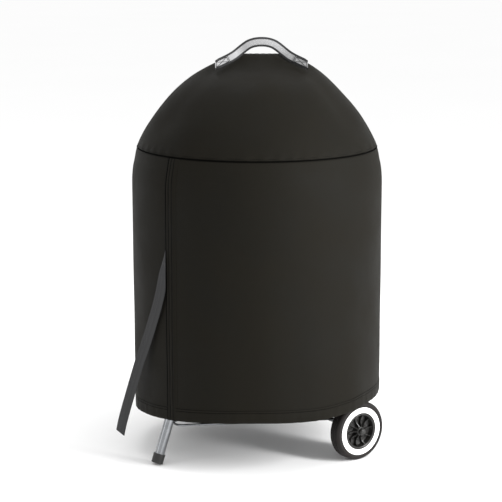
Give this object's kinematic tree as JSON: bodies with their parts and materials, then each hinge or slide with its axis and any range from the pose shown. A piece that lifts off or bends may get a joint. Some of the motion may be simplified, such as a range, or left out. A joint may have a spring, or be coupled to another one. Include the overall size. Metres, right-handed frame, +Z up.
{
  "type": "kettle charcoal grill",
  "caption": "Kettle charcoal grill on wheeled legs, stored under its fitted fabric cover, with lid, grates, ash sweeper and ash pan inside.",
  "frame": {"origin": "on the floor, under the vertical middle line of the kettle", "axes": "+Z up; the axle is parallel to Y on the +X side, and the single leg is on the -X side"},
  "size_m": [0.6767, 0.6408, 1.07],
  "materials": {
    "black_enamel": "glossy black porcelain enamel",
    "cover_cloth": "black coated polyester cloth with a faint sheen",
    "cover_webbing": "dark grey woven strap",
    "handle_webbing": "light grey webbing with a dark woven border",
    "black_nylon": "black moulded nylon",
    "leg_aluminium": "bright drawn tube",
    "pan_aluminium": "satin pressed sheet",
    "plated_wire": "plated steel wire",
    "bare_steel": "plain steel",
    "tyre_rubber": "black moulded rubber, ribbed tread",
    "white_trim": "white moulded ring",
    "black_hub": "black moulded plastic with fine ribs"
  },
  "bodies": {
    "frame": {"bowl": "black_enamel", "side_handle_wheel_side": "black_nylon", "side_handle_leg_side": "black_nylon", "side_handle_bolt_wheel_side_a": "bare_steel", "side_handle_bolt_wheel_side_b": "bare_steel", "side_handle_bolt_leg_side_a": "bare_steel", "side_handle_bolt_leg_side_b": "bare_steel", "grate_bracket_1": "bare_steel", "grate_bracket_2": "bare_steel", "grate_bracket_3": "bare_steel", "single_leg": "leg_aluminium", "wheel_leg_right": "leg_aluminium", "wheel_leg_left": "leg_aluminium", "single_leg_socket": "black_enamel", "wheel_leg_right_socket": "black_enamel", "wheel_leg_left_socket": "black_enamel", "foot_cap": "black_nylon", "axle": "plated_wire", "axle_bush_right": "black_nylon", "axle_bush_left": "black_nylon", "axle_cap_right": "black_hub", "axle_cap_left": "black_hub", "wire_shelf": "plated_wire", "ash_pan_holder": "plated_wire"},
    "wheel_right": {"tyre_right": "tyre_rubber", "wheel_hub_right": "black_hub", "whitewall_right": "white_trim"},
    "wheel_left": {"tyre_left": "tyre_rubber", "wheel_hub_left": "black_hub", "whitewall_left": "white_trim"},
    "ash_pan": {"ash_pan": "pan_aluminium"},
    "ash_sweeper": {"sweeper_blades": "bare_steel", "sweeper_shaft": "bare_steel", "sweeper_nut": "bare_steel", "sweeper_lever": "pan_aluminium"},
    "charcoal_grate": {"charcoal_grate": "bare_steel"},
    "cooking_grate": {"cooking_grate": "plated_wire"},
    "lid": {"lid": "black_enamel", "lid_handle": "black_nylon", "lid_handle_shield": "bare_steel", "lid_handle_bolt_left": "bare_steel", "lid_handle_bolt_right": "bare_steel", "damper_rivet": "bare_steel"},
    "lid_damper": {"lid_damper": "pan_aluminium"},
    "cover": {"cover_dome": "cover_cloth", "cover_skirt": "cover_cloth", "cover_hem": "cover_cloth", "cover_seam_flap": "cover_cloth", "carry_handle": "handle_webbing", "cover_strap": "cover_webbing"}
  },
  "joints": [
    {"name": "wheel_right_spin", "type": "hinge", "parent": "frame", "child": "wheel_right", "pos_m": [0.1275, -0.2596, 0.0762], "axis": [0, -1, 0], "continuous": true},
    {"name": "wheel_left_spin", "type": "hinge", "parent": "frame", "child": "wheel_left", "pos_m": [0.1275, 0.2596, 0.0762], "axis": [0, 1, 0], "continuous": true},
    {"name": "ash_sweeper_turn", "type": "hinge", "parent": "frame", "child": "ash_sweeper", "pos_m": [0, 0, 0.46], "axis": [0, 0, 1], "range_deg": [-45, 45]},
    {"name": "ash_pan_lift", "type": "slide", "parent": "frame", "child": "ash_pan", "axis": [0, 0, 1], "range_m": [0, 0.03]},
    {"name": "charcoal_grate_lift", "type": "slide", "parent": "frame", "child": "charcoal_grate", "axis": [0, 0, 1], "range_m": [0, 0.3]},
    {"name": "cooking_grate_lift", "type": "slide", "parent": "charcoal_grate", "child": "cooking_grate", "axis": [0, 0, 1], "range_m": [0, 0.15]},
    {"name": "lid_lift", "type": "slide", "parent": "cooking_grate", "child": "lid", "axis": [0, 0, 1], "range_m": [0, 0.3]},
    {"name": "lid_damper_turn", "type": "hinge", "parent": "lid", "child": "lid_damper", "pos_m": [0.11449, 0.07154, 0.89399], "axis": [0.3352, 0.2094, 0.9186], "range_deg": [0, 45]},
    {"name": "cover_lift", "type": "slide", "parent": "lid", "child": "cover", "axis": [0, 0, 1], "range_m": [0, 0.92]}
  ]
}
